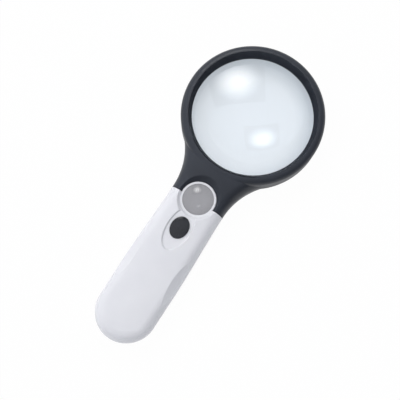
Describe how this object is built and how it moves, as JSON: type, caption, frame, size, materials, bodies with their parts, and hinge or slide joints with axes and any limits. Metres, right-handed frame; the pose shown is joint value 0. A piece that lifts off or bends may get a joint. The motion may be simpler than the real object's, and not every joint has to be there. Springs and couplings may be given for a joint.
{
  "type": "low vision magnifier",
  "caption": "Hand-held lit magnifier: round lens in a black ring, small strong lens set in the neck, push button, white battery handle with a sliding back door.",
  "frame": {"origin": "middle of the whole magnifier in plan, on the surface that it lies on, back down", "axes": "+Y along the handle towards the ring, +Z out of the face towards the viewer, +X to the right of the face"},
  "size_m": [0.085, 0.1955, 0.0188],
  "materials": {
    "black_shell": "satin moulded plastic",
    "white_shell": "glossy moulded plastic",
    "clear_lens": "polished clear acrylic",
    "black_tube": "matt anti-glare plastic",
    "black_button": "glossy moulded plastic",
    "switch_plastic": "moulded plastic",
    "spring_steel": "nickel-plated spring wire",
    "board": "solder-masked fibreglass",
    "resistor_body": "lacquered",
    "led_epoxy": "clear epoxy",
    "cell_jacket": "shrink-wrapped jacket",
    "contact_metal": "nickel-plated strip",
    "screw_steel": "zinc-plated",
    "red_insulation": "PVC insulation",
    "black_insulation": "PVC insulation"
  },
  "bodies": {
    "casing": {"head_front_shell": "black_shell", "head_back_shell": "black_shell", "main_lens": "clear_lens", "loupe_lens": "clear_lens", "loupe_tube": "black_tube", "handle_front_shell": "white_shell", "handle_back_shell": "white_shell", "switch_body": "switch_plastic", "switch_spring": "spring_steel", "circuit_board": "board", "led_board": "board", "resistor": "resistor_body", "led_left": "led_epoxy", "led_centre": "led_epoxy", "led_right": "led_epoxy", "battery_left": "cell_jacket", "battery_centre": "cell_jacket", "battery_right": "cell_jacket", "battery_spring_left": "spring_steel", "battery_spring_centre": "spring_steel", "battery_spring_right": "spring_steel", "positive_contact": "contact_metal", "front_bridge_contact": "contact_metal", "rear_bridge_contact": "contact_metal", "negative_contact": "contact_metal", "head_screws": "screw_steel", "handle_screws": "screw_steel", "led_wire_red": "red_insulation", "led_wire_black": "black_insulation", "battery_wire_red": "red_insulation", "battery_wire_black": "black_insulation"},
    "button": {"button_cap": "black_button", "switch_plunger": "switch_plastic"},
    "door": {"battery_door": "white_shell"}
  },
  "joints": [
    {"name": "button_press", "type": "slide", "parent": "casing", "child": "button", "axis": [0, 0, -1], "range_m": [0, 0.0012], "stiffness_N_per_m": 900, "deforming": ["switch_spring"]},
    {"name": "battery_door_slide", "type": "slide", "parent": "casing", "child": "door", "axis": [0, -1, 0], "range_m": [0, 0.004]}
  ]
}
